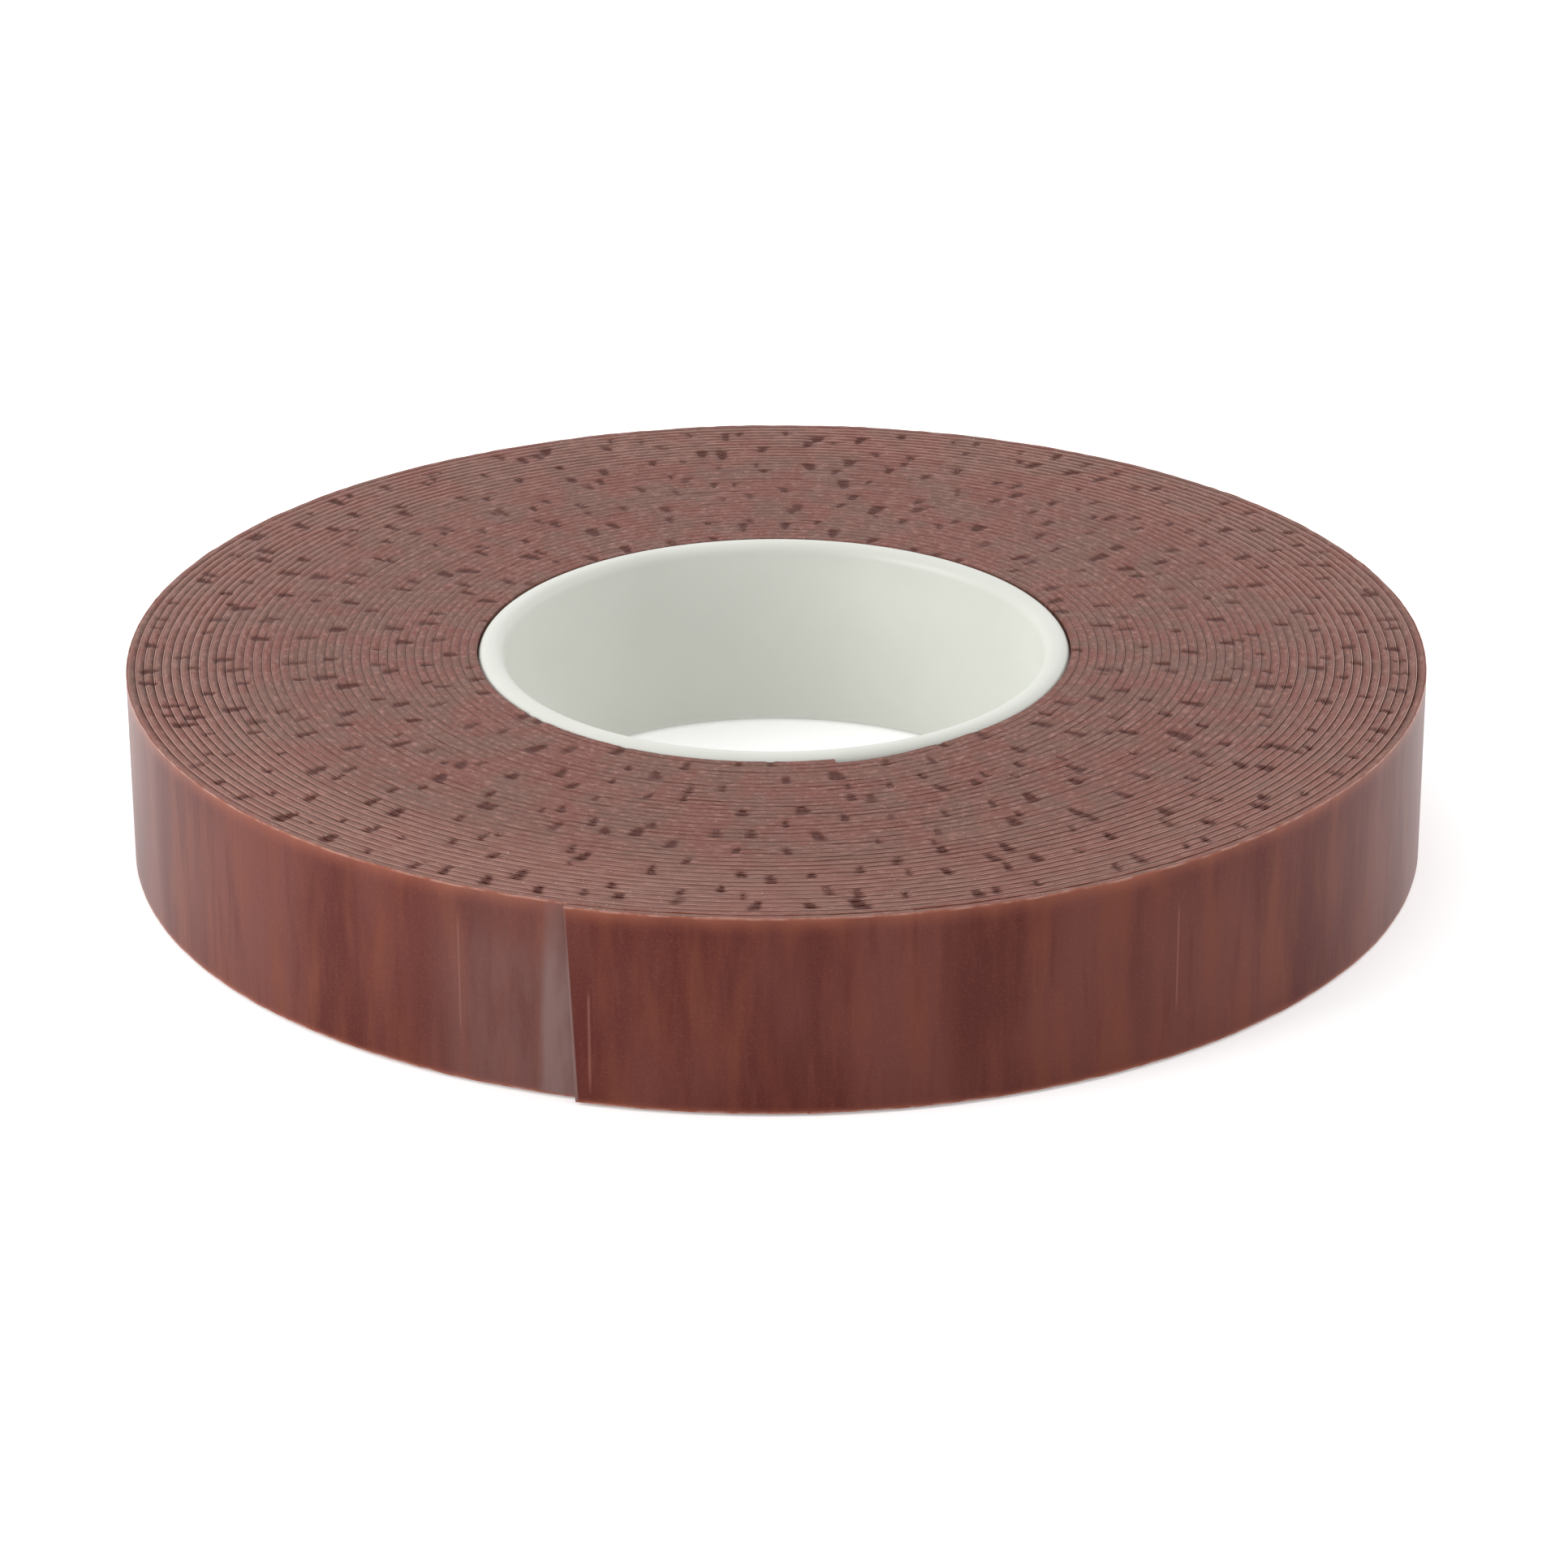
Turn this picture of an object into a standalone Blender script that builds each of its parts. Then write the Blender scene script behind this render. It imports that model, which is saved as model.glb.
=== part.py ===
"""A roll of double-sided adhesive tape on a moulded core, with a free end that peels open.

Units are metres and +Z is up. The roll lies flat, so the core's axis is the Z axis and the core's
lower rim stands on Z = 0. Two webs are wound together on the core: a soft adhesive strip, and a
thin release liner on its outer side. The wound adhesive is one strip that is made in stretches of
several turns. The last stretch of both webs is the tail: it hinges at its root, and the liner's
own end hinges farther out on the tail.

Angles along the webs are counted inward from the free end, counter-clockwise seen from above.
"""

import math

import bmesh
import bpy

# Core.
BORE_DIAMETER = 0.0762
CORE_WALL = 0.0038
CORE_LIP = 0.00035
CORE_EDGE_RADIUS = 0.0014

# Webs.
TAPE_WIDTH = 0.0277
ADHESIVE_THICKNESS = 0.001065
LINER_THICKNESS = 0.00011
WOUND_TURNS = 39.0
ADHESIVE_STRETCHES = 5
FREE_END_AZIMUTH = math.radians(-108.0)

# Tail.
TAIL_LENGTH = 0.036
LINER_PEEL_LENGTH = 0.026

# Clearances.
WEB_GAP = 0.00003
CORE_TO_TAPE_GAP = 0.00005
HINGE_GAP = 0.0003
STRETCH_GAP = 0.0003
CUT_TO_CORNER = 0.0008

# Facets.
CORE_SEGMENTS = 60
CORE_EDGE_SEGMENTS = 2
WINDING_SEGMENTS = 24
OUTER_TURN_SEGMENTS = 96
SHORTEST_FACET = 0.0003
ROUNDING = 1e-6

# Materials: colour, roughness and metallic value.
CORE_LOOK = ((0.76, 0.76, 0.70), 0.45, 0.0)
ADHESIVE_LOOK = ((0.30, 0.15, 0.12), 0.50, 0.0)
LINER_LOOK = ((0.23, 0.08, 0.065), 0.25, 0.0)

# Sizes that follow from the ones above.
FULL_TURN = 2.0 * math.pi
BORE_RADIUS = 0.5 * BORE_DIAMETER
CORE_RADIUS = BORE_RADIUS + CORE_WALL
CORE_LENGTH = TAPE_WIDTH + 2.0 * CORE_LIP
FACET_SHRINK = math.cos(math.pi / WINDING_SEGMENTS)
LAYER_PITCH = (ADHESIVE_THICKNESS + LINER_THICKNESS + 2.0 * WEB_GAP) / FACET_SHRINK
WINDING_STEP = FULL_TURN / WINDING_SEGMENTS
INNER_END_CORNER = round((FREE_END_AZIMUTH + WOUND_TURNS * FULL_TURN) / WINDING_STEP)
INNER_END_ANGLE = INNER_END_CORNER * WINDING_STEP - FREE_END_AZIMUTH
INNER_END_RADIUS = (CORE_RADIUS + CORE_TO_TAPE_GAP) / FACET_SHRINK
BUILD_UP = LAYER_PITCH * (INNER_END_ANGLE / FULL_TURN + 1.0) - WEB_GAP / FACET_SHRINK
OUTER_END_RADIUS = INNER_END_RADIUS + BUILD_UP
TAIL_ANGLE = TAIL_LENGTH / OUTER_END_RADIUS
LINER_PEEL_ANGLE = LINER_PEEL_LENGTH / OUTER_END_RADIUS
HALF_HINGE_GAP_ANGLE = 0.5 * HINGE_GAP / OUTER_END_RADIUS
OUTER_TURN_CORNER = math.ceil((FREE_END_AZIMUTH + TAIL_ANGLE + FULL_TURN) / WINDING_STEP)
OUTER_TURN_END = OUTER_TURN_CORNER * WINDING_STEP - FREE_END_AZIMUTH
LINER_TO_ADHESIVE = LINER_THICKNESS + WEB_GAP


def clear_scene():
    for old in list(bpy.data.objects):
        bpy.data.objects.remove(old, do_unlink=True)


def add_collection(name):
    collection = bpy.data.collections.new(name)
    bpy.context.scene.collection.children.link(collection)
    return collection


def add_material(name, look):
    colour, roughness, metallic = look
    material = bpy.data.materials.new(name)
    material.use_nodes = True
    shader = material.node_tree.nodes["Principled BSDF"]
    shader.inputs["Base Color"].default_value = (*colour, 1.0)
    shader.inputs["Roughness"].default_value = roughness
    shader.inputs["Metallic"].default_value = metallic
    return material


def add_empty(name, collection, location, parent=None):
    empty = bpy.data.objects.new(name, None)
    empty.empty_display_size = 0.01
    collection.objects.link(empty)
    empty.parent = parent
    parent_place = parent["world_place"] if parent else (0.0, 0.0, 0.0)
    empty["world_place"] = location
    empty.location = [own - above for own, above in zip(location, parent_place)]
    return empty


def add_part(name, mesh, material, parent):
    part = bpy.data.objects.new(name, mesh)
    parent.users_collection[0].objects.link(part)
    part.parent = parent
    mesh.materials.append(material)
    mesh.shade_smooth()
    mesh.set_sharp_from_angle(angle=math.radians(40.0))
    return part


# The path of the webs.


def liner_outer_radius(angle):
    """Radius of the liner's outer face, at an angle counted inward from the free end."""
    return OUTER_END_RADIUS - LAYER_PITCH * angle / FULL_TURN


def corner_point(angle, depth):
    radius = liner_outer_radius(angle) - depth
    azimuth = FREE_END_AZIMUTH + angle
    return (radius * math.cos(azimuth), radius * math.sin(azimuth))


def corner_step(angle):
    """The web bends at the corners of a regular polygon, which has more of them in the outermost turn."""
    segments = OUTER_TURN_SEGMENTS if angle < OUTER_TURN_END else WINDING_SEGMENTS
    return FULL_TURN / segments


def web_point(angle, depth, z):
    """A point at a depth under the liner's outer face, on the flat between two corners."""
    step = corner_step(angle)
    corner = math.floor((FREE_END_AZIMUTH + angle) / step)
    before = corner * step - FREE_END_AZIMUTH
    share = (angle - before) / step
    low_x, low_y = corner_point(before, depth)
    high_x, high_y = corner_point(before + step, depth)
    return (low_x + share * (high_x - low_x), low_y + share * (high_y - low_y), z)


def clear_of_corners(angle):
    """A cut's angle, moved along its flat where it lies too near to a corner of the web."""
    step = corner_step(angle)
    before = math.floor((FREE_END_AZIMUTH + angle) / step) * step - FREE_END_AZIMUTH
    margin = CUT_TO_CORNER / liner_outer_radius(angle)
    return min(max(angle, before + margin), before + step - margin)


def polygon_corners(start, end, segments):
    """Angles of the regular polygon's corners from start up to, and without, end."""
    step = FULL_TURN / segments
    first = math.ceil((FREE_END_AZIMUTH + start) / step - ROUNDING)
    last = math.ceil((FREE_END_AZIMUTH + end) / step - ROUNDING)
    return [k * step - FREE_END_AZIMUTH for k in range(first, last)]


def web_angles(start, end):
    """Both ends of a stretch of web, and its corners between them."""
    fine = polygon_corners(start, min(end, OUTER_TURN_END), OUTER_TURN_SEGMENTS)
    coarse = polygon_corners(max(start, OUTER_TURN_END), end, WINDING_SEGMENTS)
    shortest = SHORTEST_FACET / OUTER_END_RADIUS
    corners = [a for a in fine + coarse if start + shortest < a < end - shortest]
    return [start] + corners + [end]


def add_web(name, start, end, depth, thickness, material, parent):
    """A flat strip that follows the winding, from its outer face inward by its thickness."""
    origin = parent["world_place"]
    form = bmesh.new()
    corners = []
    for angle in web_angles(start, end):
        x, y, z = web_point(angle, depth / FACET_SHRINK, CORE_LIP)
        corners.append(form.verts.new((x - origin[0], y - origin[1], z - origin[2])))
    edges = [form.edges.new(pair) for pair in zip(corners, corners[1:])]
    raised = bmesh.ops.extrude_edge_only(form, edges=edges)["geom"]
    top = [item for item in raised if isinstance(item, bmesh.types.BMVert)]
    bmesh.ops.translate(form, verts=top, vec=(0.0, 0.0, TAPE_WIDTH))
    form.normal_update()
    form.faces.ensure_lookup_table()
    face = form.faces[0]
    middle = face.calc_center_median()
    outward = face.normal.x * (middle.x + origin[0]) + face.normal.y * (middle.y + origin[1])
    if outward < 0.0:
        bmesh.ops.reverse_faces(form, faces=form.faces)
    mesh = bpy.data.meshes.new(name)
    form.to_mesh(mesh)
    form.free()
    web = add_part(name, mesh, material, parent)
    wall = web.modifiers.new("web thickness", "SOLIDIFY")
    wall.thickness = thickness
    wall.offset = -1.0
    wall.use_even_offset = True
    return web


# The core.


def core_profile():
    """The wall's section at +X, with round edges, down the outer side and up the bore."""
    edge = min(CORE_EDGE_RADIUS, 0.45 * CORE_WALL, 0.45 * CORE_LENGTH)
    centres = [
        (CORE_RADIUS - edge, CORE_LENGTH - edge, 90.0),
        (CORE_RADIUS - edge, edge, 0.0),
        (BORE_RADIUS + edge, edge, -90.0),
        (BORE_RADIUS + edge, CORE_LENGTH - edge, -180.0),
    ]
    points = []
    for x, z, start in centres:
        for k in range(CORE_EDGE_SEGMENTS + 1):
            turn = math.radians(start - 90.0 * k / CORE_EDGE_SEGMENTS)
            points.append((x + edge * math.cos(turn), 0.0, z + edge * math.sin(turn)))
    return points


def add_core(material, parent):
    form = bmesh.new()
    corners = [form.verts.new(point) for point in core_profile()]
    for pair in zip(corners, corners[1:] + corners[:1]):
        form.edges.new(pair)
    mesh = bpy.data.meshes.new("core")
    form.to_mesh(mesh)
    form.free()
    core = add_part("core", mesh, material, parent)
    turned = core.modifiers.new("turned wall", "SCREW")
    turned.axis = "Z"
    turned.angle = FULL_TURN
    turned.steps = CORE_SEGMENTS
    turned.render_steps = CORE_SEGMENTS
    turned.use_merge_vertices = True
    turned.merge_threshold = 0.00001
    return core


# The roll.


clear_scene()
roll_parts = add_collection("tape_roll")

core_material = add_material("core_plastic", CORE_LOOK)
adhesive_material = add_material("adhesive", ADHESIVE_LOOK)
liner_material = add_material("liner_film", LINER_LOOK)

roll = add_empty("roll", roll_parts, (0.0, 0.0, 0.0))
tail_cut = clear_of_corners(TAIL_ANGLE)
liner_cut = clear_of_corners(LINER_PEEL_ANGLE)
tail_axis = web_point(tail_cut, 0.0, 0.5 * CORE_LENGTH)
liner_axis = web_point(liner_cut, 0.0, 0.5 * CORE_LENGTH)
tail_hinge = add_empty("tail_hinge", roll_parts, tail_axis, roll)
liner_hinge = add_empty("liner_hinge", roll_parts, liner_axis, tail_hinge)

add_core(core_material, roll)

wound_start = tail_cut + HALF_HINGE_GAP_ANGLE
tail_end = tail_cut - HALF_HINGE_GAP_ANGLE
liner_root_start = liner_cut + HALF_HINGE_GAP_ANGLE
liner_tail_end = liner_cut - HALF_HINGE_GAP_ANGLE

adhesive = (LINER_TO_ADHESIVE, ADHESIVE_THICKNESS, adhesive_material)
liner = (0.0, LINER_THICKNESS, liner_material)

stretch_angle = (INNER_END_ANGLE - wound_start) / ADHESIVE_STRETCHES
stretch_start = wound_start
for stretch in range(1, ADHESIVE_STRETCHES):
    cut = clear_of_corners(wound_start + stretch * stretch_angle)
    half_gap = 0.5 * STRETCH_GAP / liner_outer_radius(cut)
    add_web(f"adhesive_turns_{stretch}", stretch_start, cut - half_gap, *adhesive, roll)
    stretch_start = cut + half_gap
add_web(f"adhesive_turns_{ADHESIVE_STRETCHES}", stretch_start, INNER_END_ANGLE, *adhesive, roll)
add_web("liner_winding", wound_start, INNER_END_ANGLE, *liner, roll)
add_web("adhesive_tail", 0.0, tail_end, *adhesive, tail_hinge)
add_web("liner_tail_root", liner_root_start, tail_end, *liner, tail_hinge)
add_web("liner_tail", 0.0, liner_tail_end, *liner, liner_hinge)
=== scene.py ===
import math
import random

import bmesh
import bpy
import numpy as np
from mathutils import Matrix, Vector


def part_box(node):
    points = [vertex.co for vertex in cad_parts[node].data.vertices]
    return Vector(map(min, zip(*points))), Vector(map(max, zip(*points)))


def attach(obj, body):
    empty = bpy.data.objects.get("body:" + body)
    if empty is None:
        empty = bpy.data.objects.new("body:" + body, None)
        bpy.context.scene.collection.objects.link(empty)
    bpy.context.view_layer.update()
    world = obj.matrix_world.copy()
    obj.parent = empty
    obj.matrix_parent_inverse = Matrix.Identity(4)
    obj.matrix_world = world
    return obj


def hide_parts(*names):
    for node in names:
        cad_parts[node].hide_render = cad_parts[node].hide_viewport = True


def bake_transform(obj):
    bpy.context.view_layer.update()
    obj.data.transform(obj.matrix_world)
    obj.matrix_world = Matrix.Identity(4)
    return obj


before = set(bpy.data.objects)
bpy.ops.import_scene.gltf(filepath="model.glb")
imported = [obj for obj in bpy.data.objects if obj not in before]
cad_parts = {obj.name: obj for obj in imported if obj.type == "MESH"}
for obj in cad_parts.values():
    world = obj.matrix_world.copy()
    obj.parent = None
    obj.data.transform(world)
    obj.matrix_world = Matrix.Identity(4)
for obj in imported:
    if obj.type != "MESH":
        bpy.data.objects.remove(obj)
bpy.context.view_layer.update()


# Camera: a long lens that looks down on the roll's near side, at the height where a roll on a
# table is usually looked at.
camera_distance = 0.7833
camera_height_angle = math.radians(23.517)
camera_turn = math.radians(-1.6)
camera_roll = math.radians(0.16)
looked_at = Vector((0.00224, -0.00006, 0.00644))

camera_data = bpy.data.cameras.new("camera")
camera_data.lens = 125.75
camera_data.sensor_width = 36.0
camera_data.clip_start = 0.01
camera_data.clip_end = 20.0
camera = bpy.data.objects.new("camera", camera_data)
bpy.context.scene.collection.objects.link(camera)
level = math.cos(camera_height_angle)
away = Vector(
    (level * math.sin(camera_turn), -level * math.cos(camera_turn), math.sin(camera_height_angle))
)
camera.location = looked_at + camera_distance * away
camera.rotation_euler = (0.5 * math.pi - camera_height_angle, camera_roll, camera_turn)
bpy.context.scene.camera = camera


# Studio: a pale table top in a white room, which is brighter behind the roll than in front of it.
# A large soft light stands on each side, the left one the stronger.
bpy.context.scene.view_settings.view_transform = "Standard"
bpy.context.scene.view_settings.look = "None"

white = (1.0, 1.0, 1.0, 1.0)
front_brightness = 0.35
back_brightness = 1.20
table_paint_colour = (0.93, 0.93, 0.93, 1.0)
table_glow = 0.30
table_half_width = 6.0

room = bpy.data.worlds.new("white_room")
room.use_nodes = True
room_light = room.node_tree.nodes["Background"]
room_light.inputs["Color"].default_value = white
direction = room.node_tree.nodes.new("ShaderNodeTexCoord")
direction_parts = room.node_tree.nodes.new("ShaderNodeSeparateXYZ")
dim_front = room.node_tree.nodes.new("ShaderNodeMapRange")
dim_front.inputs["From Min"].default_value = -0.9
dim_front.inputs["From Max"].default_value = -0.1
dim_front.inputs["To Min"].default_value = front_brightness
dim_front.inputs["To Max"].default_value = back_brightness
room.node_tree.links.new(direction.outputs["Generated"], direction_parts.inputs["Vector"])
room.node_tree.links.new(direction_parts.outputs["Y"], dim_front.inputs["Value"])
room.node_tree.links.new(dim_front.outputs["Result"], room_light.inputs["Strength"])
bpy.context.scene.world = room


def add_soft_light(name, place, aim, size, power):
    """A square area light that faces a point."""
    data = bpy.data.lights.new(name, "AREA")
    data.shape = "SQUARE"
    data.size = size
    data.energy = power
    light = bpy.data.objects.new(name, data)
    bpy.context.scene.collection.objects.link(light)
    light.location = place
    light.rotation_euler = (Vector(aim) - Vector(place)).to_track_quat("-Z", "Y").to_euler()
    return light


roll_middle = (0.0, 0.0, 0.014)
add_soft_light("left_light", (-0.85, -0.35, 0.40), roll_middle, 0.6, 5.5)
add_soft_light("right_light", (0.95, 0.10, 0.40), roll_middle, 0.6, 1.5)

table_form = bmesh.new()
bmesh.ops.create_grid(table_form, x_segments=8, y_segments=8, size=table_half_width)
table_mesh = bpy.data.meshes.new("table_top")
table_form.to_mesh(table_mesh)
table_form.free()
table_top = bpy.data.objects.new("table_top", table_mesh)
bpy.context.scene.collection.objects.link(table_top)
table_paint = bpy.data.materials.new("table_paint")
table_paint.use_nodes = True
table_shader = table_paint.node_tree.nodes["Principled BSDF"]
table_shader.inputs["Base Color"].default_value = table_paint_colour
table_shader.inputs["Emission Color"].default_value = white
table_shader.inputs["Emission Strength"].default_value = table_glow
table_shader.inputs["Roughness"].default_value = 0.9
table_shader.inputs["Specular IOR Level"].default_value = 0.2
table_mesh.materials.append(table_paint)


# Core: the plain ring that the tape is wound on, turned from thick off-white plastic tube. Its
# rims are rounded over and stand just past the tape, and its bore is smooth.
full_turn = 2.0 * math.pi
core_low, core_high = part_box("core")
core_radius = 0.5 * (core_high.x - core_low.x)
bore_radius = 0.0381
core_bottom = core_low.z
core_top = core_high.z
rim_round = 0.0017
rim_round_steps = 8
core_steps = 288
plastic_shade = (0.57, 0.58, 0.53, 1.0)
plastic_light = (0.61, 0.62, 0.57, 1.0)
cloud_scale = 45.0
moulding_grain_scale = 2500.0


def join_named_mesh(name, form):
    """A finished mesh object from a bmesh, in the scene and at the origin."""
    mesh = bpy.data.meshes.new(name)
    form.to_mesh(mesh)
    form.free()
    piece = bpy.data.objects.new(name, mesh)
    bpy.context.scene.collection.objects.link(piece)
    return piece


def smooth_over(piece, sharp_angle):
    """Smooth shading that breaks at edges sharper than the angle."""
    piece.data.shade_smooth()
    piece.data.set_sharp_from_angle(angle=math.radians(sharp_angle))


def add_nodes(material):
    """Switches a material's nodes on, and gives its node tree and its Principled shader."""
    material.use_nodes = True
    tree = material.node_tree
    return tree, tree.nodes["Principled BSDF"]


core_form = bmesh.new()
core_corners = []
rim_centres = [
    (core_radius - rim_round, core_top - rim_round, 90.0),
    (core_radius - rim_round, core_bottom + rim_round, 0.0),
    (bore_radius + rim_round, core_bottom + rim_round, -90.0),
    (bore_radius + rim_round, core_top - rim_round, -180.0),
]
for centre_x, centre_z, start in rim_centres:
    for step in range(rim_round_steps + 1):
        turn = math.radians(start - 90.0 * step / rim_round_steps)
        core_corners.append(
            core_form.verts.new(
                (centre_x + rim_round * math.cos(turn), 0.0, centre_z + rim_round * math.sin(turn))
            )
        )
next_corners = core_corners[1:] + core_corners[:1]
core_edges = [core_form.edges.new(pair) for pair in zip(core_corners, next_corners)]
bmesh.ops.spin(
    core_form, geom=core_corners + core_edges, cent=(0.0, 0.0, 0.0), axis=(0.0, 0.0, 1.0),
    angle=full_turn, steps=core_steps, use_merge=True,
)
bmesh.ops.remove_doubles(core_form, verts=core_form.verts, dist=0.000001)
bmesh.ops.recalc_face_normals(core_form, faces=core_form.faces)
core = join_named_mesh("core_ring", core_form)
smooth_over(core, 60.0)
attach(core, "roll")
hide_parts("core")

core_plastic = bpy.data.materials.new("core_plastic")
tree, shader = add_nodes(core_plastic)
nodes, links = tree.nodes, tree.links
place = nodes.new("ShaderNodeTexCoord")
cloud = nodes.new("ShaderNodeTexNoise")
cloud.inputs["Scale"].default_value = cloud_scale
cloud.inputs["Detail"].default_value = 4.0
links.new(place.outputs["Object"], cloud.inputs["Vector"])
tint = nodes.new("ShaderNodeValToRGB")
tint.color_ramp.elements[0].position = 0.30
tint.color_ramp.elements[0].color = plastic_shade
tint.color_ramp.elements[1].position = 0.70
tint.color_ramp.elements[1].color = plastic_light
links.new(cloud.outputs["Fac"], tint.inputs["Fac"])
links.new(tint.outputs["Color"], shader.inputs["Base Color"])
grain = nodes.new("ShaderNodeTexNoise")
grain.inputs["Scale"].default_value = moulding_grain_scale
links.new(place.outputs["Object"], grain.inputs["Vector"])
bump = nodes.new("ShaderNodeBump")
bump.inputs["Strength"].default_value = 0.06
bump.inputs["Distance"].default_value = 0.0002
links.new(grain.outputs["Fac"], bump.inputs["Height"])
links.new(bump.outputs["Normal"], shader.inputs["Normal"])
shader.inputs["Roughness"].default_value = 0.42
core.data.materials.append(core_plastic)


# Adhesive strip: one long soft strip, about a millimetre thick, wound on the core in 39 turns.
# Its slit sides bulge a little between the films and carry small nicks. Shade is painted into the
# nicks and into the grooves between the bulges, and a highlight onto the bulges. It is made flat,
# as the real strip is, and then wound up. It is shown in five stretches of about eight turns.
tape_low, tape_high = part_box("liner_winding")
tape_bottom = tape_low.z
tape_top = tape_high.z
tape_width = tape_top - tape_bottom

tail_corners = [corner.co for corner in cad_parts["liner_tail"].data.vertices]
outer_end_radius = max(corner.xy.length for corner in tail_corners)
free_end_azimuth = min(math.atan2(corner.y, corner.x) for corner in tail_corners)

wound_turns = 39
film_thickness = 0.00011
web_gap = 0.00002
lap_slack = 0.00003
core_contact_gap = 0.00004
tail_strip_length = 0.0445
strip_joint = tail_strip_length / outer_end_radius
inner_end_angle = strip_joint + wound_turns * full_turn
layers = inner_end_angle / full_turn
build_up = outer_end_radius - core_radius - core_contact_gap
layer_pitch = (build_up + web_gap + lap_slack) / (layers + 1.0)
adhesive_thickness = layer_pitch - film_thickness - 2.0 * web_gap - lap_slack
lap_share = 0.08
swell_band = 0.0125
swell_height = 0.000045
fine_swell_band = 0.0038
fine_swell_height = 0.000018
swell_lean = 0.0006
swell_run_out = 0.2


def smooth_step(value):
    """0 below 0, 1 above 1, and an even slope between."""
    value = np.clip(value, 0.0, 1.0)
    return value * value * (3.0 - 2.0 * value)


def wound_radius(angle):
    """Radius of the liner's outer face, at an angle counted inward from the free end. The first
    turns lie round on the core and climb over the strip's inner end. Farther out, that climb
    spreads over the whole turn."""
    turns_out = (inner_end_angle - angle) / full_turn
    whole = np.floor(turns_out + 0.000001)
    share = turns_out - whole
    climb = smooth_step((share - 1.0 + lap_share) / lap_share)
    tightness = np.clip(1.0 - turns_out / layers, 0.0, 1.0)
    innermost = outer_end_radius - layer_pitch * layers
    return innermost + layer_pitch * (whole + share + tightness * (climb - share))


def wander(along, spacing, seed):
    """A smooth random curve along the strip, from -1 to 1, with a new level at each spacing."""
    places = along / spacing
    first = int(np.floor(places.min())) - 1
    levels = np.random.default_rng(seed).uniform(-1.0, 1.0, int(np.ceil(places.max())) - first + 3)
    whole = np.floor(places).astype(int)
    share = smooth_step(places - whole)
    return levels[whole - first] * (1.0 - share) + levels[whole - first + 1] * share


def film_swell(angle, height):
    """How far the outermost turn stands off the turn below, in soft bands across the tape."""
    along = angle * outer_end_radius
    lean = swell_lean * (height - 0.5)
    broad = 0.5 + 0.5 * wander(along + 4.0 * lean, swell_band, 11)
    narrow = 0.5 + 0.5 * wander(along + lean, fine_swell_band, 12)
    swell = swell_height * broad + fine_swell_height * narrow
    fade = smooth_step((full_turn - angle) / swell_run_out)
    return np.where(angle < full_turn, swell * fade, 0.0)


nick_spacing = 0.0062
nick_half_length = 0.0019
nick_half_width = 0.0015
nick_depth = 0.00022
nick_margin = 0.003
rim_margin = 0.004


def scatter_nicks(seed):
    """Places and sizes of the nicks on one side of the roll, evenly spread with some jitter."""
    dice = random.Random(seed)
    nicks = []
    radius = core_radius + nick_margin
    while radius < outer_end_radius - nick_margin:
        around = int(full_turn * radius / nick_spacing)
        offset = dice.random()
        for step in range(around):
            azimuth = full_turn * (step + offset + dice.uniform(-0.45, 0.45)) / around
            jitter = dice.uniform(-0.5, 0.5) * nick_spacing
            place = min(radius + jitter, outer_end_radius - rim_margin)
            size = dice.uniform(0.5, 1.0)
            nicks.append((
                azimuth - math.pi,
                place,
                nick_half_length * size * dice.uniform(0.8, 1.3),
                nick_half_width * size * dice.uniform(0.8, 1.25),
                dice.uniform(0.55, 1.0),
                dice.uniform(-0.35, 0.35),
            ))
        radius += nick_spacing
    return nicks


def nick_strength(radius, azimuth, nicks):
    """How much of a nick there is at each point, from 0 to 1. A nick widens towards the outside."""
    order = np.argsort(azimuth)
    sorted_azimuth = azimuth[order]
    strength = np.zeros(len(radius))
    for nick_azimuth, nick_radius, half_length, half_width, depth, lean in nicks:
        reach = 1.6 * half_width / nick_radius
        low, high = np.searchsorted(sorted_azimuth, (nick_azimuth - reach, nick_azimuth + reach))
        near = order[low:high]
        out = (radius[near] - nick_radius) / half_length
        side = (azimuth[near] - nick_azimuth) * nick_radius / half_width - lean * out
        width = 0.45 + 0.275 * (out + 1.0)
        across = np.clip(1.0 - (side / width) ** 2, 0.0, 1.0)
        lengthwise = np.clip(2.5 * (1.0 - np.abs(out)), 0.0, 1.0)
        shape = across * lengthwise
        strength[near] = np.maximum(strength[near], depth * shape)
    return strength


top_nicks = scatter_nicks(21)
bottom_nicks = scatter_nicks(22)


def flat_strip(section, start, end, steps):
    """A straight closed strip from its cross-section, with X as the angle that it will cover, Y as
    the depth under the liner's outer face, and Z across the tape. It is a grid that is folded round
    the section, with its seam welded and its two ends filled."""
    form = bmesh.new()
    bmesh.ops.create_grid(form, x_segments=steps, y_segments=len(section), size=0.5)
    seam = []
    for corner in form.verts:
        row = round((corner.co.y + 0.5) * len(section))
        if row % len(section) == 0:
            seam.append(corner)
        corner.co.x = start + (corner.co.x + 0.5) * (end - start)
        corner.co.yz = section[row % len(section)]
    bmesh.ops.remove_doubles(form, verts=seam, dist=0.0000001)
    bmesh.ops.holes_fill(form, edges=[edge for edge in form.edges if edge.is_boundary], sides=0)
    return form


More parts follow.
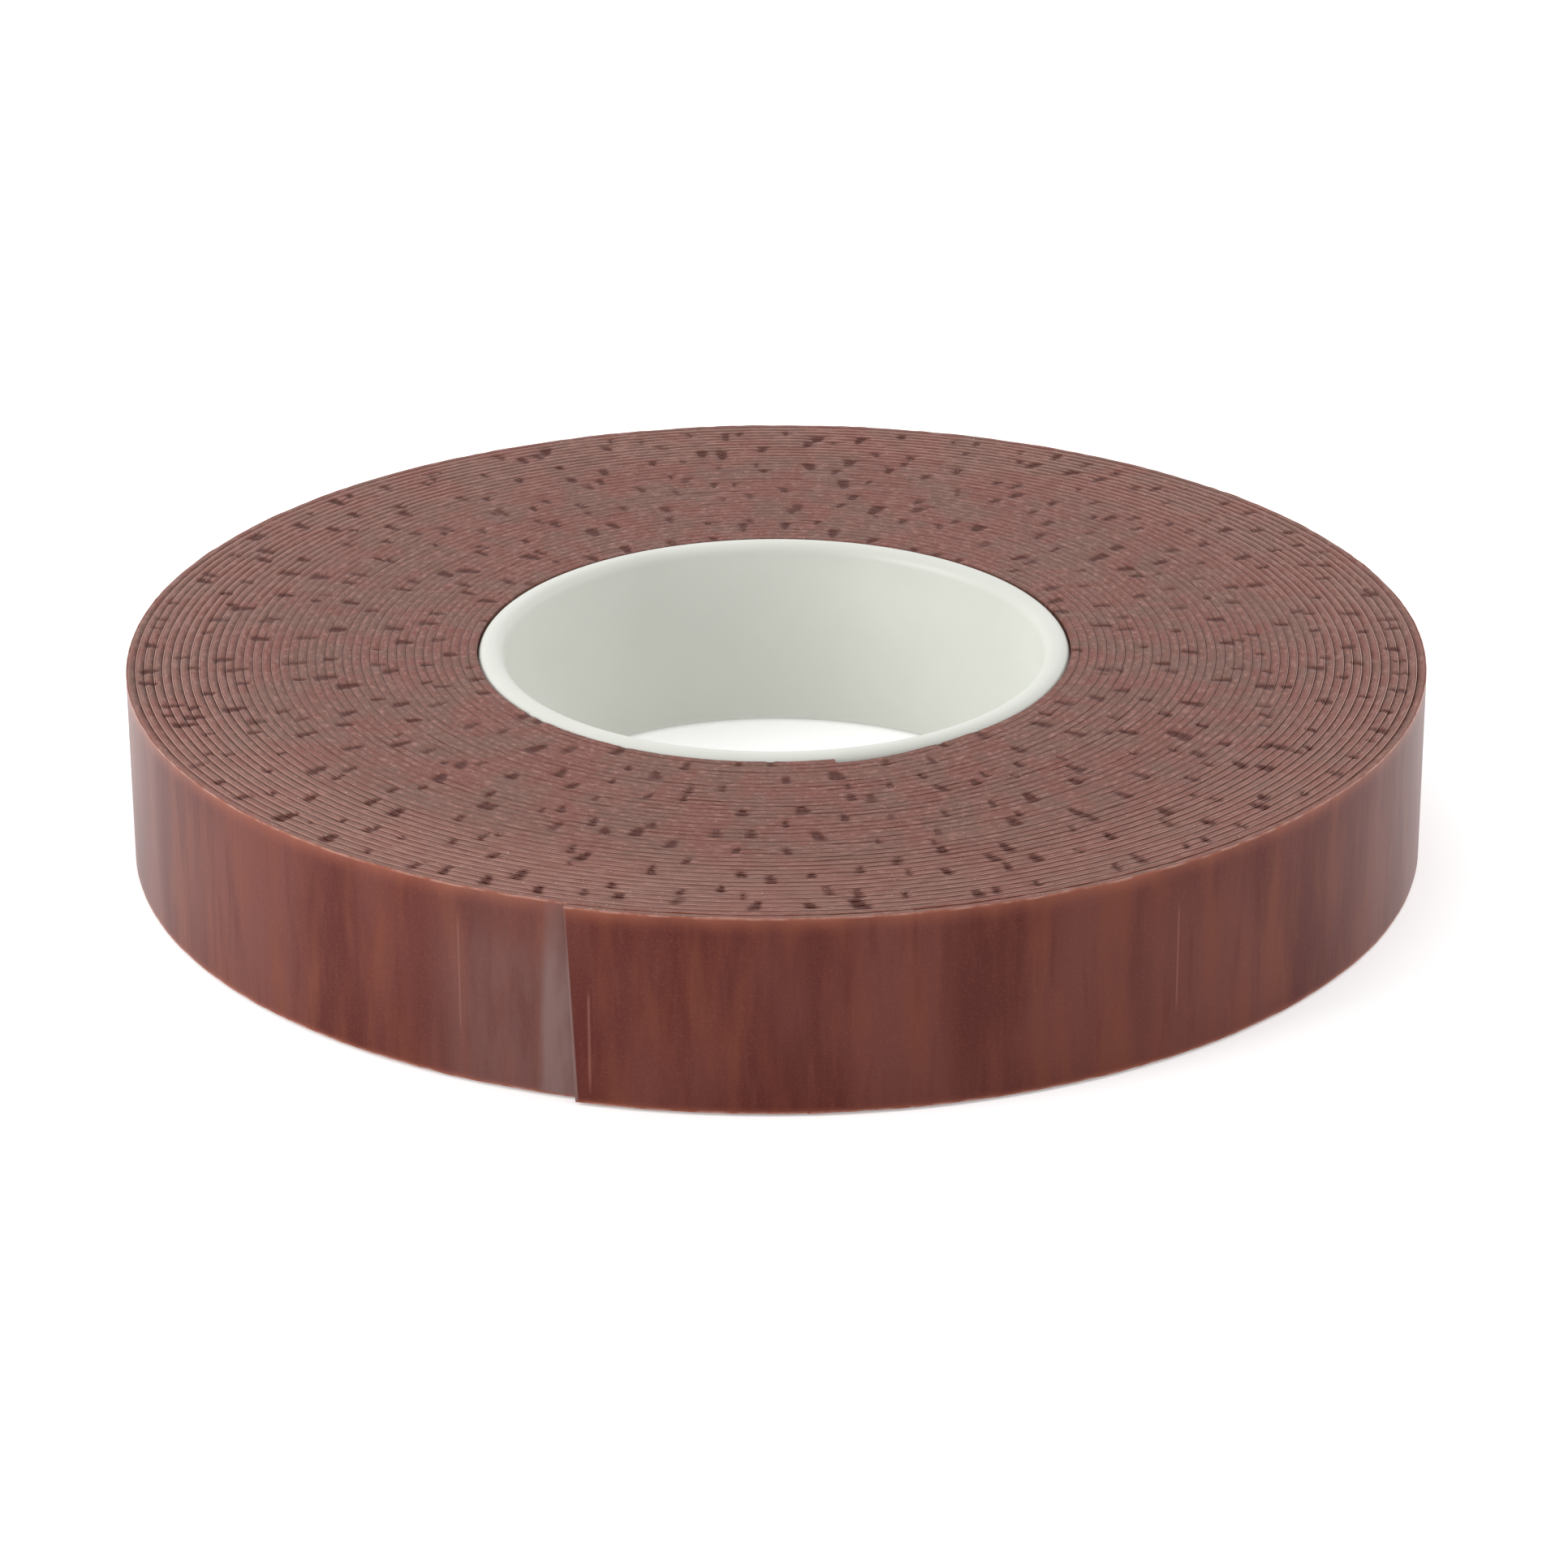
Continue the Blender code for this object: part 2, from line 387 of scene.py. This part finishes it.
def wind_up(name, form, shape_edges):
    """Winds a flat strip into its place on the roll and makes it a piece."""
    piece = join_named_mesh(name, form)
    mesh = piece.data
    flat = np.zeros(3 * len(mesh.vertices))
    mesh.vertices.foreach_get("co", flat)
    angle, depth, height = flat.reshape(-1, 3).T
    azimuth = np.mod(free_end_azimuth + angle + math.pi, full_turn) - math.pi
    share = (height - tape_bottom) / tape_width
    radius = wound_radius(angle) - depth + film_swell(angle, share)
    height, marks = shape_edges(angle, depth, height, radius, azimuth)
    for mark_name, values in marks.items():
        attribute = mesh.attributes.new(mark_name, "FLOAT", "POINT")
        attribute.data.foreach_set("value", values.astype(np.float32))
    wound = np.column_stack((radius * np.cos(azimuth), radius * np.sin(azimuth), height))
    mesh.vertices.foreach_set("co", wound.ravel())
    rest_place = mesh.attributes.new("rest_place", "FLOAT_VECTOR", "POINT")
    rest_place.data.foreach_set("vector", wound.astype(np.float32).ravel())
    ordered = bmesh.new()
    ordered.from_mesh(mesh)
    bmesh.ops.recalc_face_normals(ordered, faces=ordered.faces)
    ordered.to_mesh(mesh)
    ordered.free()
    return piece


slit_side_shares = [0.0, 0.14, 0.5, 0.86, 1.0]
groove_at_shares = [0.45, 0.0, 0.0, 0.62, 0.9]
ridge_at_shares = [0.8, 1.0, 0.1, 0.0, 0.0]
groove_depth = 0.00020
inner_groove_share = 0.30
deeper_from_radius = 0.066
deeper_over = 0.016
side_unevenness = 0.00003
groove_roughness = 0.00005
side_roughness = 0.00001
uneven_spacing = 0.021
rough_spacing = 0.0017
adhesive_depth = film_thickness + web_gap


def adhesive_section():
    """The adhesive's cross-section: a plain rectangle with five points on each slit side."""
    top = [(adhesive_depth + share * adhesive_thickness, tape_top) for share in slit_side_shares]
    bottom = [(depth, tape_bottom) for depth, _ in reversed(top)]
    return top + bottom


def shape_adhesive_edges(angle, depth, height, radius, azimuth):
    """Bulging, slightly uneven slit sides with nicks in them. The grooves between the bulges are
    deeper in the outer layers."""
    along = angle * 0.5 * (radius + outer_end_radius)
    up = height > 0.5 * (tape_top + tape_bottom)
    share = (depth - adhesive_depth) / adhesive_thickness
    outer = smooth_step((radius - deeper_from_radius) / deeper_over)
    depth_share = inner_groove_share + (1.0 - inner_groove_share) * outer
    groove = np.interp(share, slit_side_shares, groove_at_shares) * depth_share
    ridge = np.interp(share, slit_side_shares, ridge_at_shares) * depth_share
    uneven = np.where(up, wander(along, uneven_spacing, 31), wander(along, uneven_spacing, 32))
    rough = np.where(up, wander(along, rough_spacing, 33), wander(along, rough_spacing, 34))
    top_nick = nick_strength(radius, azimuth, top_nicks)
    bottom_nick = nick_strength(radius, azimuth, bottom_nicks)
    nick = np.where(up, top_nick, bottom_nick)
    drop = groove_depth * groove + nick_depth * nick
    drop = drop + side_unevenness * (1.0 - uneven)
    drop = drop + groove_roughness * rough * groove + side_roughness * (1.0 + rough)
    # The nick and groove marks also place painted shade, and the ridge mark a painted highlight.
    marks = {"nick": nick, "groove": groove, "ridge": ridge}
    return np.where(up, height - drop, height + drop), marks


wound_nodes = sorted(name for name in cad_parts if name.startswith("adhesive_turns"))
stretch_angle = (inner_end_angle - strip_joint) / len(wound_nodes)
points_per_turn = [960, 880, 800, 700, 560]
adhesive_pieces = []
for stretch, node_name in enumerate(wound_nodes):
    start = strip_joint + stretch * stretch_angle
    steps = round(points_per_turn[stretch] * stretch_angle / full_turn)
    form = flat_strip(adhesive_section(), start, start + stretch_angle, steps)
    piece = wind_up(f"adhesive_strip_turns_{stretch + 1}", form, shape_adhesive_edges)
    smooth_over(piece, 50.0)
    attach(piece, "roll")
    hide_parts(node_name)
    adhesive_pieces.append(piece)


def shader_node(tree, kind, **values):
    """A new node. Each value is set on the node itself, or on its input of that name."""
    made = tree.nodes.new(kind)
    for name, value in values.items():
        if hasattr(made, name):
            setattr(made, name, value)
        else:
            made.inputs[name.replace("_", " ")].default_value = value
    return made


def join(tree, source, target):
    """Feeds one socket into another."""
    tree.links.new(source, target)


def math_node(tree, operation, first, second=None, third=None, clamp=False):
    """A Math node's output, from numbers or other outputs."""
    made = tree.nodes.new("ShaderNodeMath")
    made.operation = operation
    made.use_clamp = clamp
    for slot, value in zip(made.inputs, (first, second, third)):
        if value is None:
            continue
        if isinstance(value, (int, float)):
            slot.default_value = value
        else:
            tree.links.new(value, slot)
    return made.outputs[0]


def ramp_value(tree, value, low, high, low_out=0.0, high_out=1.0):
    """A smooth rise from low_out to high_out as the value goes from low to high."""
    made = tree.nodes.new("ShaderNodeMapRange")
    made.interpolation_type = "SMOOTHSTEP"
    made.inputs["From Min"].default_value = low
    made.inputs["From Max"].default_value = high
    made.inputs["To Min"].default_value = low_out
    made.inputs["To Max"].default_value = high_out
    tree.links.new(value, made.inputs["Value"])
    return made.outputs["Result"]


def mix_colours(tree, factor, first, second):
    """A colour between two, each given as a colour or as an output."""
    made = tree.nodes.new("ShaderNodeMix")
    made.data_type = "RGBA"
    factor_slot, first_slot, second_slot = made.inputs[0], made.inputs[6], made.inputs[7]
    for slot, value in ((factor_slot, factor), (first_slot, first), (second_slot, second)):
        if isinstance(value, tuple):
            slot.default_value = (*value, 1.0)
        elif isinstance(value, float):
            slot.default_value = value
        else:
            tree.links.new(value, slot)
    return made.outputs[2]


millimetres = 1000.0


def roll_place_group():
    """Where a point is on the roll: degrees from the near side, millimetres from the axis, and
    millimetres above the tape's lower side."""
    tree = bpy.data.node_groups.new("place_on_roll", "ShaderNodeTree")
    for name in ("Angle", "Radius", "Height"):
        tree.interface.new_socket(name=name, in_out="OUTPUT", socket_type="NodeSocketFloat")
    outputs = tree.nodes.new("NodeGroupOutput")
    place = shader_node(tree, "ShaderNodeAttribute", attribute_name="rest_place")
    parts = tree.nodes.new("ShaderNodeSeparateXYZ")
    join(tree, place.outputs["Vector"], parts.inputs["Vector"])
    x, y, z = parts.outputs
    angle = math_node(tree, "ARCTAN2", x, math_node(tree, "MULTIPLY", y, -1.0))
    join(tree, math_node(tree, "MULTIPLY", angle, math.degrees(1.0)), outputs.inputs["Angle"])
    x_squared = math_node(tree, "MULTIPLY", x, x)
    y_squared = math_node(tree, "MULTIPLY", y, y)
    distance = math_node(tree, "SQRT", math_node(tree, "ADD", x_squared, y_squared))
    join(tree, math_node(tree, "MULTIPLY", distance, millimetres), outputs.inputs["Radius"])
    lifted = math_node(tree, "SUBTRACT", z, tape_bottom)
    join(tree, math_node(tree, "MULTIPLY", lifted, millimetres), outputs.inputs["Height"])
    return tree


def round_noise_group():
    """Noise that runs round the roll: Around sets how often it changes along the tape, Out how
    often it changes from layer to layer, and Across how often it changes across the tape."""
    tree = bpy.data.node_groups.new("noise_round_the_roll", "ShaderNodeTree")
    for name, value in (("Around", 60.0), ("Out", 1.0), ("Across", 0.1), ("Detail", 2.0)):
        socket = tree.interface.new_socket(name=name, in_out="INPUT", socket_type="NodeSocketFloat")
        socket.default_value = value
    tree.interface.new_socket(name="Value", in_out="OUTPUT", socket_type="NodeSocketFloat")
    inputs = tree.nodes.new("NodeGroupInput")
    outputs = tree.nodes.new("NodeGroupOutput")
    place = tree.nodes.new("ShaderNodeGroup")
    place.node_tree = place_on_roll
    turn = math_node(tree, "MULTIPLY", place.outputs["Angle"], math.radians(1.0))
    side = math_node(tree, "MULTIPLY", math_node(tree, "SINE", turn), inputs.outputs["Around"])
    front = math_node(tree, "MULTIPLY", math_node(tree, "COSINE", turn), inputs.outputs["Around"])
    out = math_node(tree, "MULTIPLY", place.outputs["Radius"], inputs.outputs["Out"])
    across = math_node(tree, "MULTIPLY", place.outputs["Height"], inputs.outputs["Across"])
    where = tree.nodes.new("ShaderNodeCombineXYZ")
    join(tree, side, where.inputs["X"])
    join(tree, front, where.inputs["Y"])
    join(tree, math_node(tree, "ADD", out, across), where.inputs["Z"])
    noise = shader_node(tree, "ShaderNodeTexNoise", Scale=1.0)
    join(tree, where.outputs["Vector"], noise.inputs["Vector"])
    join(tree, inputs.outputs["Detail"], noise.inputs["Detail"])
    join(tree, noise.outputs["Fac"], outputs.inputs["Value"])
    return tree


def round_noise(tree, around, out, across, detail):
    """The value of the noise that runs round the roll, placed in a material."""
    made = tree.nodes.new("ShaderNodeGroup")
    made.node_tree = noise_round_the_roll
    for name, value in (("Around", around), ("Out", out), ("Across", across), ("Detail", detail)):
        made.inputs[name].default_value = value
    return made.outputs["Value"]


def slit_glow_group():
    """How close a point is to one of the tape's two slit sides, for painted light through them."""
    tree = bpy.data.node_groups.new("slit_glow", "ShaderNodeTree")
    socket = tree.interface.new_socket(name="Reach", in_out="INPUT", socket_type="NodeSocketFloat")
    socket.default_value = 1.5
    tree.interface.new_socket(name="Value", in_out="OUTPUT", socket_type="NodeSocketFloat")
    inputs = tree.nodes.new("NodeGroupInput")
    outputs = tree.nodes.new("NodeGroupOutput")
    place = tree.nodes.new("ShaderNodeGroup")
    place.node_tree = place_on_roll
    from_top = math_node(tree, "SUBTRACT", millimetres * tape_width, place.outputs["Height"])
    from_bottom = math_node(tree, "MULTIPLY", place.outputs["Height"], 2.5)
    nearest = math_node(tree, "MINIMUM", from_top, from_bottom)
    share = math_node(tree, "DIVIDE", nearest, inputs.outputs["Reach"], clamp=True)
    left = math_node(tree, "SUBTRACT", 1.0, share)
    join(tree, math_node(tree, "POWER", left, 2.0), outputs.inputs["Value"])
    return tree


place_on_roll = roll_place_group()
noise_round_the_roll = round_noise_group()
slit_glow = slit_glow_group()

# Pale streaks, and the painted highlight on the crowns of the bulging slit sides.
adhesive_streak_and_highlight = (0.270, 0.135, 0.112)
adhesive_pink = (0.176, 0.064, 0.051)
adhesive_grey = (0.152, 0.078, 0.060)
# Painted shade in the grooves between the bulging slit sides.
groove_painted_shade = (0.066, 0.020, 0.015)
# Painted shade in the nicks.
nick_painted_shade = (0.078, 0.021, 0.015)
dust_colour = (0.42, 0.31, 0.27)

soft_adhesive = bpy.data.materials.new("soft_adhesive")
tree, shader = add_nodes(soft_adhesive)
patches_noise = round_noise(tree, around=9.0, out=0.11, across=0.2, detail=2.0)
patches = ramp_value(tree, patches_noise, 0.38, 0.62)
colour = mix_colours(tree, patches, adhesive_pink, adhesive_grey)
wisps_noise = round_noise(tree, around=48.0, out=1.6, across=1.0, detail=3.0)
wisps = ramp_value(tree, wisps_noise, 0.48, 0.72)
colour = mix_colours(tree, wisps, colour, adhesive_streak_and_highlight)
# Painted highlight on the crowns of the bulging slit sides, and painted shade in the grooves
# between them, both made ragged by noise.
groove_mark = shader_node(tree, "ShaderNodeAttribute", attribute_name="groove")
ragged_noise = round_noise(tree, around=60.0, out=0.8, across=1.0, detail=2.0)
ragged = ramp_value(tree, ragged_noise, 0.30, 0.65, 0.60, 1.0)
ridge_mark = shader_node(tree, "ShaderNodeAttribute", attribute_name="ridge")
ragged_ridge = math_node(tree, "MULTIPLY", ragged, 0.75)
ridge_highlight_share = math_node(tree, "MULTIPLY", ridge_mark.outputs["Fac"], ragged_ridge)
colour = mix_colours(tree, ridge_highlight_share, colour, adhesive_streak_and_highlight)
# Painted shade in the grooves.
groove_shade_share = math_node(tree, "MULTIPLY", groove_mark.outputs["Fac"], ragged)
colour = mix_colours(tree, groove_shade_share, colour, groove_painted_shade)
# Painted shade in the nicks, made ragged by noise.
nick_mark = shader_node(tree, "ShaderNodeAttribute", attribute_name="nick")
torn = round_noise(tree, around=150.0, out=2.4, across=1.0, detail=3.0)
torn_nick = math_node(tree, "ADD", nick_mark.outputs["Fac"], math_node(tree, "MULTIPLY", torn, 0.4))
nick_shade_share = ramp_value(tree, torn_nick, 0.26, 0.95)
colour = mix_colours(tree, nick_shade_share, colour, nick_painted_shade)
dust_noise = round_noise(tree, around=420.0, out=4.0, across=3.0, detail=0.0)
dust = ramp_value(tree, dust_noise, 0.785, 0.83)
colour = mix_colours(tree, dust, colour, dust_colour)
join(tree, colour, shader.inputs["Base Color"])
sheen_patches_noise = round_noise(tree, around=30.0, out=0.6, across=1.0, detail=2.0)
sheen_patches = ramp_value(tree, sheen_patches_noise, 0.3, 0.7, 0.50, 0.66)
join(tree, sheen_patches, shader.inputs["Roughness"])
shader.inputs["Specular IOR Level"].default_value = 0.14
bump = shader_node(tree, "ShaderNodeBump", Strength=0.35, Distance=0.0001)
bump_noise = round_noise(tree, around=170.0, out=2.6, across=2.0, detail=2.0)
join(tree, bump_noise, bump.inputs["Height"])
join(tree, bump.outputs["Normal"], shader.inputs["Normal"])
for piece in adhesive_pieces:
    piece.data.materials.append(soft_adhesive)


# Release liner: a thin glossy red-brown film on the adhesive's outer side, wound with it. Its
# outermost turn is the roll's outer wall, and its slit edges show as fine lines on the sides.
film_section = [
    (0.0, tape_top), (film_thickness, tape_top), (film_thickness, tape_bottom), (0.0, tape_bottom),
]
wall_rows = [0.0, 0.01, 0.04, 0.10, 0.20, 0.35, 0.50, 0.65, 0.80, 0.90, 0.96, 0.99, 1.0]
wall_section = [(0.0, tape_bottom + share * tape_width) for share in wall_rows]
inner_face_rows = [1.0, 0.96, 0.04, 0.0]
wall_section += [(film_thickness, tape_bottom + share * tape_width) for share in inner_face_rows]
outer_turn_end = strip_joint + 1.1 * full_turn
outer_turn_steps = 1100
inner_liner_steps = 520
slit_band = 0.04
film_edge_drop = 0.00008
outer_raggedness = 0.00009
inner_raggedness = 0.00004
fine_wave_spacing = 0.0016
broad_wave_spacing = 0.0065


def edge_wave(along, raggedness, fine_seed, broad_seed):
    """Fine and broad waves of a slit edge, in equal parts."""
    fine = 0.5 * wander(along, fine_wave_spacing, fine_seed)
    broad = 0.5 * wander(along, broad_wave_spacing, broad_seed)
    return raggedness * (fine + broad)


def shape_film_edges(angle, depth, height, radius, azimuth):
    """Slightly wavy slit edges, more ragged in the outermost turn."""
    along = angle * 0.5 * (radius + outer_end_radius)
    share = (height - tape_bottom) / tape_width
    near_top = smooth_step((share - 1.0 + slit_band) / slit_band)
    near_bottom = smooth_step((slit_band - share) / slit_band)
    ragged = np.where(angle < full_turn, outer_raggedness, inner_raggedness)
    top_wave = edge_wave(along, ragged, 41, 42) - film_edge_drop
    bottom_wave = edge_wave(along, ragged, 43, 44) + film_edge_drop
    top_nick = near_top * nick_strength(radius, azimuth, top_nicks)
    bottom_nick = near_bottom * nick_strength(radius, azimuth, bottom_nicks)
    height = height + near_top * top_wave + near_bottom * bottom_wave
    height = height - nick_depth * (top_nick - bottom_nick)
    slit = np.maximum(near_top, near_bottom)
    # The nick mark also places painted shade on the slit lines.
    return height, {"slit": slit, "nick": np.maximum(top_nick, bottom_nick)}


liner_pieces = []
form = flat_strip(wall_section, strip_joint, outer_turn_end, outer_turn_steps)
liner_outer_turn = wind_up("liner_outer_turn", form, shape_film_edges)
inner_steps = round(inner_liner_steps * (inner_end_angle - outer_turn_end) / full_turn)
form = flat_strip(film_section, outer_turn_end, inner_end_angle, inner_steps)
liner_inner_turns = wind_up("liner_inner_turns", form, shape_film_edges)
for piece in (liner_outer_turn, liner_inner_turns):
    smooth_over(piece, 50.0)
    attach(piece, "roll")
    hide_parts("liner_winding")
    liner_pieces.append(piece)

film_dark = (0.084, 0.014, 0.010)
film_light = (0.128, 0.034, 0.026)
film_orange = (0.150, 0.038, 0.020)
# Pale grain flecks, and painted light near the slit sides.
film_grain_and_painted_light = (0.260, 0.078, 0.046)
film_slit = (0.450, 0.255, 0.210)
film_inner_slit = (0.200, 0.092, 0.075)
# Painted highlight along the outer rim.
film_rim_highlight = (0.400, 0.205, 0.160)
# Painted reflection beside the free end.
film_painted_reflection = (0.175, 0.100, 0.092)
film_pale_line = (0.230, 0.085, 0.065)
# Each pale upright line: its angle in degrees, its lower and upper end in millimetres, and half its
# width.
pale_lines = [(-28.0, 6.0, 24.0, 0.14), (-16.4, 1.0, 17.0, 0.20), (33.2, 6.0, 23.0, 0.16)]
# Each side of the band of painted reflection: its angle at the lower edge, and its lean in degrees
# a millimetre.
reflection_left = (-21.6, 0.035)
reflection_right = (-17.4, -0.030)
pale_line_fade = 3.0

glossy_film = bpy.data.materials.new("glossy_film")
tree, shader = add_nodes(glossy_film)
place = tree.nodes.new("ShaderNodeGroup")
place.node_tree = place_on_roll
broad_noise = round_noise(tree, around=5.5, out=0.0, across=0.02, detail=2.0)
broad = ramp_value(tree, broad_noise, 0.35, 0.65)
colour = mix_colours(tree, broad, film_dark, film_light)
bands_noise = round_noise(tree, around=22.0, out=0.0, across=0.045, detail=3.0)
bands = ramp_value(tree, bands_noise, 0.42, 0.72, 0.0, 0.75)
colour = mix_colours(tree, bands, colour, film_orange)
threads_noise = round_noise(tree, around=85.0, out=0.0, across=0.12, detail=2.0)
threads = ramp_value(tree, threads_noise, 0.50, 0.80, 0.0, 0.45)
colour = mix_colours(tree, threads, colour, film_light)
dark_bands_noise = round_noise(tree, around=45.0, out=0.0, across=0.06, detail=2.0)
dark_bands = ramp_value(tree, dark_bands_noise, 0.50, 0.78, 0.0, 0.55)
colour = mix_colours(tree, dark_bands, colour, film_dark)
grain_noise = round_noise(tree, around=260.0, out=0.0, across=3.0, detail=2.0)
grain = ramp_value(tree, grain_noise, 0.45, 0.75, 0.0, 0.12)
colour = mix_colours(tree, grain, colour, film_grain_and_painted_light)
for line_angle, line_low, line_high, half_width in pale_lines:
    aside = math_node(tree, "SUBTRACT", place.outputs["Angle"], line_angle)
    off = math_node(tree, "ABSOLUTE", aside)
    height = place.outputs["Height"]
    line = ramp_value(tree, off, 0.0, half_width, 1.0, 0.0)
    above = ramp_value(tree, height, line_low, line_low + pale_line_fade)
    below = ramp_value(tree, height, line_high - pale_line_fade, line_high, 1.0, 0.0)
    pale_line = math_node(tree, "MULTIPLY", line, math_node(tree, "MULTIPLY", above, below))
    colour = mix_colours(tree, math_node(tree, "MULTIPLY", pale_line, 0.6), colour, film_pale_line)
# Painted light: the film is painted paler near its two slit sides, where light comes through the
# edge. The band reaches farther from the upper side than from the lower.
glow = tree.nodes.new("ShaderNodeGroup")
glow.node_tree = slit_glow
glow.inputs["Reach"].default_value = 3.0
glow_patches_noise = round_noise(tree, around=14.0, out=0.0, across=0.0, detail=2.0)
glow_patches = ramp_value(tree, glow_patches_noise, 0.2, 0.7, 0.45, 1.0)
painted_edge_light = math_node(tree, "MULTIPLY", glow.outputs["Value"], glow_patches)
colour = mix_colours(tree, painted_edge_light, colour, film_grain_and_painted_light)
# Painted reflection: a pale band on the film beside the free end, with a faint painted sheen
# spreading to its left. It is stronger low on the wall and broken into patches.
reflection_sides = []
for edge_angle, lean in (reflection_left, reflection_right):
    lean_over = math_node(tree, "MULTIPLY", place.outputs["Height"], lean)
    past = math_node(tree, "SUBTRACT", place.outputs["Angle"], lean_over)
    reflection_sides.append(math_node(tree, "SUBTRACT", past, edge_angle))
reflection_start = ramp_value(tree, reflection_sides[0], -0.3, 1.1)
faint_reflection_start = ramp_value(tree, reflection_sides[0], -12.0, -4.0, 0.0, 0.38)
reflection_end = ramp_value(tree, reflection_sides[1], -0.05, 0.05, 1.0, 0.0)
painted_reflection = math_node(tree, "MULTIPLY", reflection_start, reflection_end)
faint_reflection = math_node(tree, "MULTIPLY", faint_reflection_start, reflection_end)
painted_reflection = math_node(tree, "MAXIMUM", painted_reflection, faint_reflection)
reflection_patches_noise = round_noise(tree, around=60.0, out=0.0, across=0.12, detail=2.0)
reflection_patches = ramp_value(tree, reflection_patches_noise, 0.3, 0.6, 0.7, 1.0)
low_reflection = ramp_value(tree, place.outputs["Height"], 25.0, 17.0, 0.55, 1.0)
painted_reflection = math_node(tree, "MULTIPLY", painted_reflection, math_node(tree, "MULTIPLY", reflection_patches, low_reflection))
colour = mix_colours(tree, painted_reflection, colour, film_painted_reflection)
slit_mark = shader_node(tree, "ShaderNodeAttribute", attribute_name="slit")
slit_line = ramp_value(tree, slit_mark.outputs["Fac"], 0.75, 1.0, 0.0, 0.85)
outer_share = ramp_value(tree, place.outputs["Radius"], 66.0, 84.0)
slit_colour = mix_colours(tree, outer_share, film_inner_slit, film_slit)
nick_mark = shader_node(tree, "ShaderNodeAttribute", attribute_name="nick")
# Painted highlight along the outer rim: the cut edge there is painted paler, in patches.
at_rim = ramp_value(tree, place.outputs["Radius"], 90.4, 90.8)
rim_patches_noise = round_noise(tree, around=40.0, out=0.0, across=0.5, detail=2.0)
rim_patches = ramp_value(tree, rim_patches_noise, 0.35, 0.65)
rim_highlight_colour = mix_colours(tree, rim_patches, film_grain_and_painted_light, film_rim_highlight)
slit_colour = mix_colours(tree, at_rim, slit_colour, rim_highlight_colour)
# Painted shade in the nicks on the slit lines.
slit_nick_shade_share = ramp_value(tree, nick_mark.outputs["Fac"], 0.10, 0.70)
slit_colour = mix_colours(tree, slit_nick_shade_share, slit_colour, nick_painted_shade)
colour = mix_colours(tree, slit_line, colour, slit_colour)
join(tree, colour, shader.inputs["Base Color"])
shader.inputs["Roughness"].default_value = 0.32
shader.inputs["Specular IOR Level"].default_value = 0.14
bump = shader_node(tree, "ShaderNodeBump", Strength=0.2, Distance=0.0001)
bump_noise = round_noise(tree, around=120.0, out=0.0, across=0.10, detail=3.0)
join(tree, bump_noise, bump.inputs["Height"])
join(tree, bump.outputs["Normal"], shader.inputs["Normal"])
for piece in liner_pieces:
    piece.data.materials.append(glossy_film)


# Tail: the last stretch of both webs, which lies on the roll and ends in a slightly slanting cut.
# Length from the free end at which the liner is split in two.
liner_split = 0.03075
tail_step = 0.0004
cut_slant = 0.0011
slant_reach = 0.012


def slant_cut(form):
    """Moves the free end so that it is cut slightly aslant."""
    for corner in form.verts:
        along = corner.co.x * outer_end_radius
        share = (corner.co.z - tape_bottom) / tape_width
        near_end = max(0.0, 1.0 - along / slant_reach)
        corner.co.x += cut_slant / outer_end_radius * (0.5 - share) * near_end


def add_tail_web(
    name, section, start, end, shape_edges, material, node_name
):
    """A stretch of the tail, wound in place and cut slightly aslant at its free end."""
    steps = round((end - start) / tail_step)
    form = flat_strip(section, start / outer_end_radius, end / outer_end_radius, steps)
    slant_cut(form)
    piece = wind_up(name, form, shape_edges)
    smooth_over(piece, 50.0)
    piece.data.materials.append(material)
    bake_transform(piece)
    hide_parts(node_name)
    return piece


add_tail_web(
    "adhesive_tail_strip", adhesive_section(), 0.0, tail_strip_length, shape_adhesive_edges,
    soft_adhesive, "adhesive_tail",
)
add_tail_web(
    "liner_tail_bend", wall_section, liner_split, tail_strip_length, shape_film_edges,
    glossy_film, "liner_tail_root",
)
add_tail_web(
    "liner_tail_end", wall_section, 0.0, liner_split, shape_film_edges,
    glossy_film, "liner_tail",
)
